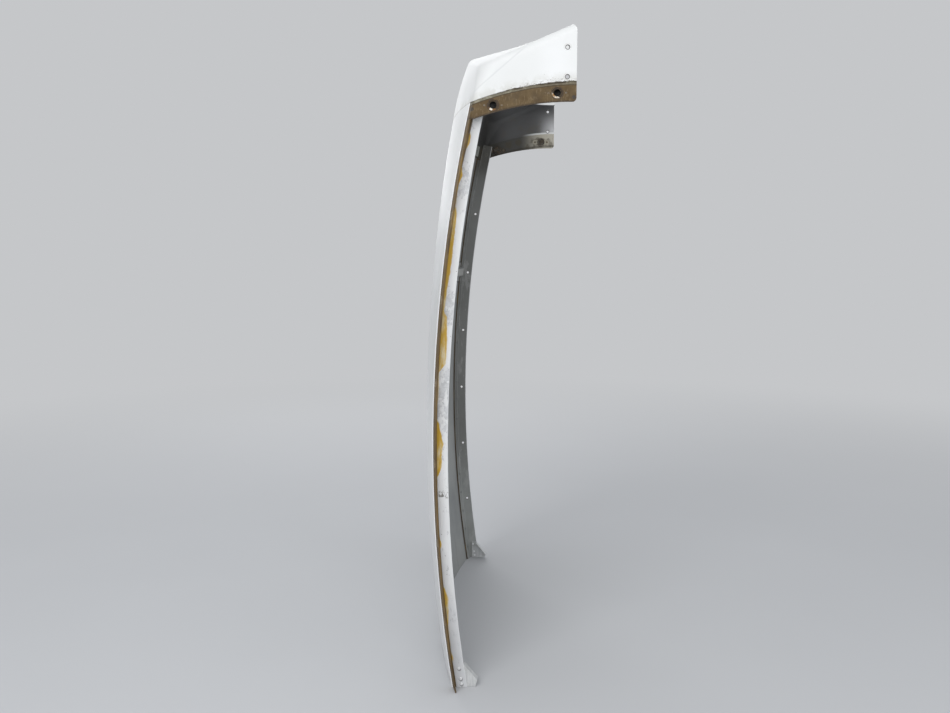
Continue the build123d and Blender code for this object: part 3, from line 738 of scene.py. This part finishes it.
def make_rail():
    m = Look("rail_paint")
    facing = m.mul(m.math("SIGN", m.y), m.dot(m.normal, (0, 1, 0)))
    outboard = m.above(facing, 0.5, 0.1)
    across = m.sub(m.from_edge(), RAIL_SEAT)
    share_z = m.share(m.z, 0.0, RAIL_TOP)
    crackle = m.noise(75, detail=6.0, rough=0.72, stretch=(1, 1, 0.7))
    patches = m.mul(m.sub(m.steps(share_z, WORN_PATCHES), 0.5), 0.22)
    worn = m.above(m.add(crackle, patches), 0.575, 0.035)
    glue, streaks, root = rail_stains(m, across, share_z)

    face = rail_paint(m, share_z, worn)
    amber = m.mix(streaks, OCHRE_PALE, OCHRE)
    face = m.mix(m.mul(glue, m.ramp(streaks, 0.0, 1.0, 0.70, 1.0)), face, amber)
    grain = m.noise(60, detail=4.0, rough=0.6, stretch=(1, 1, 0.3))
    sealant = m.shades(grain, 0.35, 0.65, SEALANT, SEALANT_LIGHT)
    face = m.mix(m.mul(root, m.invert(m.mul(glue, 0.12))), face, sealant)
    colour = m.mix(outboard, rail_inside(m, across), face)
    colour = m.over(colour, LIP_WHITE, m.above(across, RAIL_DEPTH - 0.0010, 0.0004), 0.7)
    shadows = []
    for height in GUSSET_RIVETS:
        u = m.sub(across, RAIL_DEPTH - GUSSET_RIVET_INSET)
        v = m.sub(m.z, height - 0.0014)
        shadows.append(m.mul(m.disc(u, v, 0.0036, 0.0008), outboard))
    colour = m.over(colour, RIVET_SHADOW, m.either(*shadows), 0.70)

    worn_face = m.mul(worn, outboard)
    rough = m.blend(worn_face, 0.42, 0.50)
    height = m.add(m.mul(worn, -0.35), m.mul(m.mul(glue, outboard), 0.7))
    height = m.add(height, m.mul(m.noise(190), 0.18))
    return m.finish(colour, rough, metal=m.mul(worn_face, 0.15), bump=height, depth=0.0003)


def make_sheet(name, tone, dark, metal, rough, dirt):
    """Bare or thinly primed aluminium sheet with rolling marks and dirt."""
    m = Look(name)
    grain = m.noise(260, rough=0.6, stretch=(1, 1, 0.06))
    base = m.shades(grain, 0.35, 0.65, tone, dark)
    smudge = m.patches(28, over=0.54, soft=0.07, detail=5.0, rough=0.65, shift=3.0)
    base = m.over(base, SHEET_SMUDGE, smudge, dirt)
    scratches = m.patches(330, over=0.67, soft=0.015, detail=2.0, rough=0.5, stretch=(0.1, 1, 1))
    base = m.over(base, SHEET_SCRATCH, scratches, 0.5)
    height = m.add(m.mul(grain, 0.3), m.mul(m.noise(55), 0.4))
    rough = m.ramp(smudge, 0.0, 1.0, rough, rough + 0.2)
    return m.finish(base, rough, metal=metal, bump=height, depth=0.0002)


def make_rivet(name, tone, dirty, metal=0.7):
    """Rivet tails and heads: rubbed metal with patches of grime."""
    m = Look(name)
    wear = m.noise(700, rough=0.6)
    shaded = tuple(channel * 0.72 for channel in tone)
    base = m.shades(wear, 0.35, 0.65, tone, shaded)
    grime = m.patches(240, over=0.52, soft=0.06, detail=4.0, rough=0.6, shift=4.0)
    base = m.over(base, RIVET_GRIME, grime, dirty)
    return m.finish(base, m.ramp(wear, 0.3, 0.7, 0.34, 0.5), metal=metal, bump=wear, depth=0.0001)


def cup_face(m):
    """End face of a receptacle: dark, with a painted highlight on the lower side of its rim and a
    painted glint.
    """
    face = m.shades(m.noise(300, detail=4.0), 0.35, 0.65, CUP, CUP_DARK)
    lit = []
    for receptacle, turn in zip(RECEPTACLES, (-0.25, -0.8)):
        u, v = m.from_point(receptacle)
        low = m.sub(m.mul(u, turn), m.mul(v, 1.3))
        lit.append(m.mul(m.ramp(low, 0.0055, 0.0085), m.disc(u, v, CUP_RIM_RADIUS, 0.0006)))
    pale = m.patches(200, over=0.55, soft=0.06, detail=4.0, rough=0.7, shift=2.0)
    rim = m.mix(pale, CUP_LIT, CUP_LIT_AMBER)
    rim = m.mix(m.below(m.x, RECEPTACLE_SPLIT, 0.001), rim, CUP_LIT_AMBER_AFT)
    face = m.mix(m.either(*lit), face, rim)
    return m.mix(m.disc(*m.from_point(GLINT_POINT), 0.0026, 0.0006), face, GLINT)


def make_receptacle():
    m = Look("receptacle_steel")
    base = m.shades(m.noise(240, detail=4.0), 0.35, 0.65, STEEL, STEEL_DARK)
    rust = m.patches(150, over=0.54, soft=0.05, detail=5.0, rough=0.7, shift=6.0)
    base = m.over(base, STEEL_RUST, rust, 0.4)
    places = [m.from_point(receptacle) for receptacle in RECEPTACLES]
    cups = m.either(*[m.disc(*place, CUP_RADIUS, 0.0005) for place in places])
    ears = m.mul(m.invert(cups), m.above(m.x, RECEPTACLE_SPLIT, 0.001))
    base = m.over(base, EAR, ears, 0.85)
    face = m.above(m.side, CUP_FACE_Y, 0.0001)
    base = m.mix(face, base, cup_face(m))
    # Floor of each bore: soot, and painted shade of the hole
    bores = m.either(*[m.disc(*place, BORE_RADIUS, 0.0001) for place in places])
    bore = m.mul(bores, m.above(m.side, BORE_FLOOR_Y, 0.0001))
    base = m.mix(bore, base, BORE_SOOT_AND_SHADE)
    metal = m.mul(m.ramp(rust, 0.0, 1.0, 0.3, 0.0), m.invert(m.either(bore, face)))
    rough = m.ramp(rust, 0.0, 1.0, 0.45, 0.8)
    return m.finish(base, rough, metal=metal, bump=rust, depth=0.0002, specular=0.15)


def make_stiffener():
    m = Look("stiffener_paint")
    from_middle = m.away(m.z, STIFFENER_Z)
    dull = m.shades(m.noise(11, detail=4.0), 0.3, 0.7, PRIMER, PRIMER_DARK)
    grain = m.noise(200, rough=0.6, stretch=(1, 0.08, 1))
    # Crest of the stiffener: rubbed metal with a painted highlight
    highlight = m.mul(
        m.below(from_middle, STIFFENER_CREST, 0.0012),
        m.patches(30, over=0.36, soft=0.10, detail=4.0, rough=0.65),
    )
    colour = m.mix(highlight, dull, m.mix(grain, STIFFENER_WORN_AND_LIT, STIFFENER_BRIGHT))
    foot_edge = m.above(from_middle, STIFFENER_HALF - 0.0024, 0.0006)
    colour = m.over(colour, STIFFENER_FOOT, foot_edge, 0.7)
    return m.finish(colour, 0.5, metal=m.mul(highlight, 0.1), bump=grain, depth=0.0001)


looks = {
    "top_skin": make_skin(),
    "nose_cap": make_nose(),
    "landing_strip": make_strip(),
    "side_rail": make_rail(),
    "aft_gusset": make_sheet(
        "gusset_aluminium", *GUSSET_TONES, metal=0.20, rough=0.40, dirt=0.22
    ),
    "joint_strip": make_sheet(
        "joint_strip_primer", *JOINT_STRIP_TONES, metal=0.0, rough=0.55, dirt=0.5
    ),
    "cross_stiffener": make_stiffener(),
    "rail_rivets": make_rivet("rail_rivet_metal", RAIL_RIVET, dirty=0.6),
    "gusset_rivets": make_rivet("gusset_rivet_metal", GUSSET_RIVET, dirty=0.0, metal=0.1),
    "stiffener_rivets": make_rivet("stiffener_rivet_metal", STIFFENER_RIVET, dirty=0.5),
    "joint_rivets": make_rivet("joint_rivet_metal", JOINT_RIVET, dirty=0.6),
    "receptacles": make_receptacle(),
    "receptacle_rivets": make_rivet(
        "receptacle_rivet_metal", RECEPTACLE_RIVET, dirty=0.5, metal=0.1
    ),
}
for name, obj in nodes.items():
    look = looks[name.removeprefix("left_").removeprefix("right_")]
    for slot in obj.material_slots:
        slot.material = look
    if not obj.material_slots:
        obj.data.materials.append(look)


# ---------------------------------------------------------------- stage

BACKGROUND = (0.56, 0.57, 0.585, 1)
FLOOR_TONES = ((0.57, 0.58, 0.595), (0.60, 0.61, 0.625))
FLOOR_RADIUS = 14.0
FLOOR_GAP = 0.0005  # under the part
SKY_LIGHT = (0.92, 0.95, 1.0, 1)
SKY_STRENGTH = 0.42
AIM = (0, 0, 0.75)

# Soft area lamps: place, power in watts, width
LAMPS = {
    "key": ((-1.3, -3.1, 2.5), 59.0, 2.2),
    "front": ((0.5, -3.4, 1.5), 27.0, 2.2),
    "fill": ((2.6, -1.8, 1.4), 12.0, 2.2),
    "side": ((-3.2, -0.6, 0.9), 5.6, 2.4),
    "back": ((-0.8, 3.2, 2.2), 40.0, 2.4),
    "top": ((0.4, 0.2, 3.6), 10.0, 2.0),
}

CAMERA_PLACE = (0.02535, -2.093, 0.823)
CAMERA_DIP = 6.647  # degrees below level
CAMERA_TURN = 1.894  # degrees to the left
CAMERA_LENS = 36.417
SENSOR_WIDTH = 36.0


def make_floor():
    """Pale floor that fades into the background colour away from the part."""
    shape = bmesh.new()
    bmesh.ops.create_circle(shape, cap_ends=True, segments=96, radius=FLOOR_RADIUS)
    mesh = bpy.data.meshes.new("floor")
    shape.to_mesh(mesh)
    shape.free()
    floor = bpy.data.objects.new("floor", mesh)
    scene.collection.objects.link(floor)
    m = Look("floor_paper")
    m.finish(m.mix(m.noise(1.5, detail=2.0), *FLOOR_TONES), 0.9, specular=0.1)
    glow = m.node("ShaderNodeEmission", Color=BACKGROUND, Strength=1.0)
    seen = m.node("ShaderNodeLightPath").outputs["Is Camera Ray"]
    far = m.mul(m.ramp(m.radius(m.x, m.y), 0.7, 4.0), seen)
    both = m.node("ShaderNodeMixShader", Fac=far)
    m.feed(both.inputs[1], m.shader.outputs[0])
    m.feed(both.inputs[2], glow.outputs[0])
    surface = next(node for node in m.tree.nodes if node.type == "OUTPUT_MATERIAL")
    m.feed(surface.inputs["Surface"], both.outputs[0])
    mesh.materials.append(m.mat)
    floor.location = (0, 0, -FLOOR_GAP)


def make_world():
    """Plain sky light. The camera and reflections see the background colour instead."""
    world = bpy.data.worlds.new("studio")
    scene.world = world
    world.use_nodes = True
    tree = world.node_tree
    tree.nodes.clear()
    seen = tree.nodes.new("ShaderNodeBackground")
    seen.inputs["Color"].default_value = BACKGROUND
    light = tree.nodes.new("ShaderNodeBackground")
    light.inputs["Color"].default_value = SKY_LIGHT
    light.inputs["Strength"].default_value = SKY_STRENGTH
    path = tree.nodes.new("ShaderNodeLightPath")
    rays = tree.nodes.new("ShaderNodeMath")
    rays.operation = "MAXIMUM"
    tree.links.new(path.outputs["Is Camera Ray"], rays.inputs[0])
    tree.links.new(path.outputs["Is Glossy Ray"], rays.inputs[1])
    mix = tree.nodes.new("ShaderNodeMixShader")
    tree.links.new(rays.outputs[0], mix.inputs[0])
    tree.links.new(light.outputs[0], mix.inputs[1])
    tree.links.new(seen.outputs[0], mix.inputs[2])
    out = tree.nodes.new("ShaderNodeOutputWorld")
    tree.links.new(mix.outputs[0], out.inputs[0])


def make_lamp(name, place, power, width):
    data = bpy.data.lights.new(name, "AREA")
    data.energy = power
    data.size = width
    lamp = bpy.data.objects.new(name, data)
    lamp.location = place
    lamp.rotation_euler = (Vector(AIM) - Vector(place)).to_track_quat("-Z", "Y").to_euler()
    scene.collection.objects.link(lamp)


def make_camera():
    data = bpy.data.cameras.new("camera")
    data.sensor_width = SENSOR_WIDTH
    data.lens = CAMERA_LENS
    camera = bpy.data.objects.new("camera", data)
    camera.location = CAMERA_PLACE
    camera.rotation_euler = (radians(90 - CAMERA_DIP), 0, radians(CAMERA_TURN))
    scene.collection.objects.link(camera)
    scene.camera = camera


make_floor()
make_world()
for name, settings in LAMPS.items():
    make_lamp(name, *settings)
make_camera()
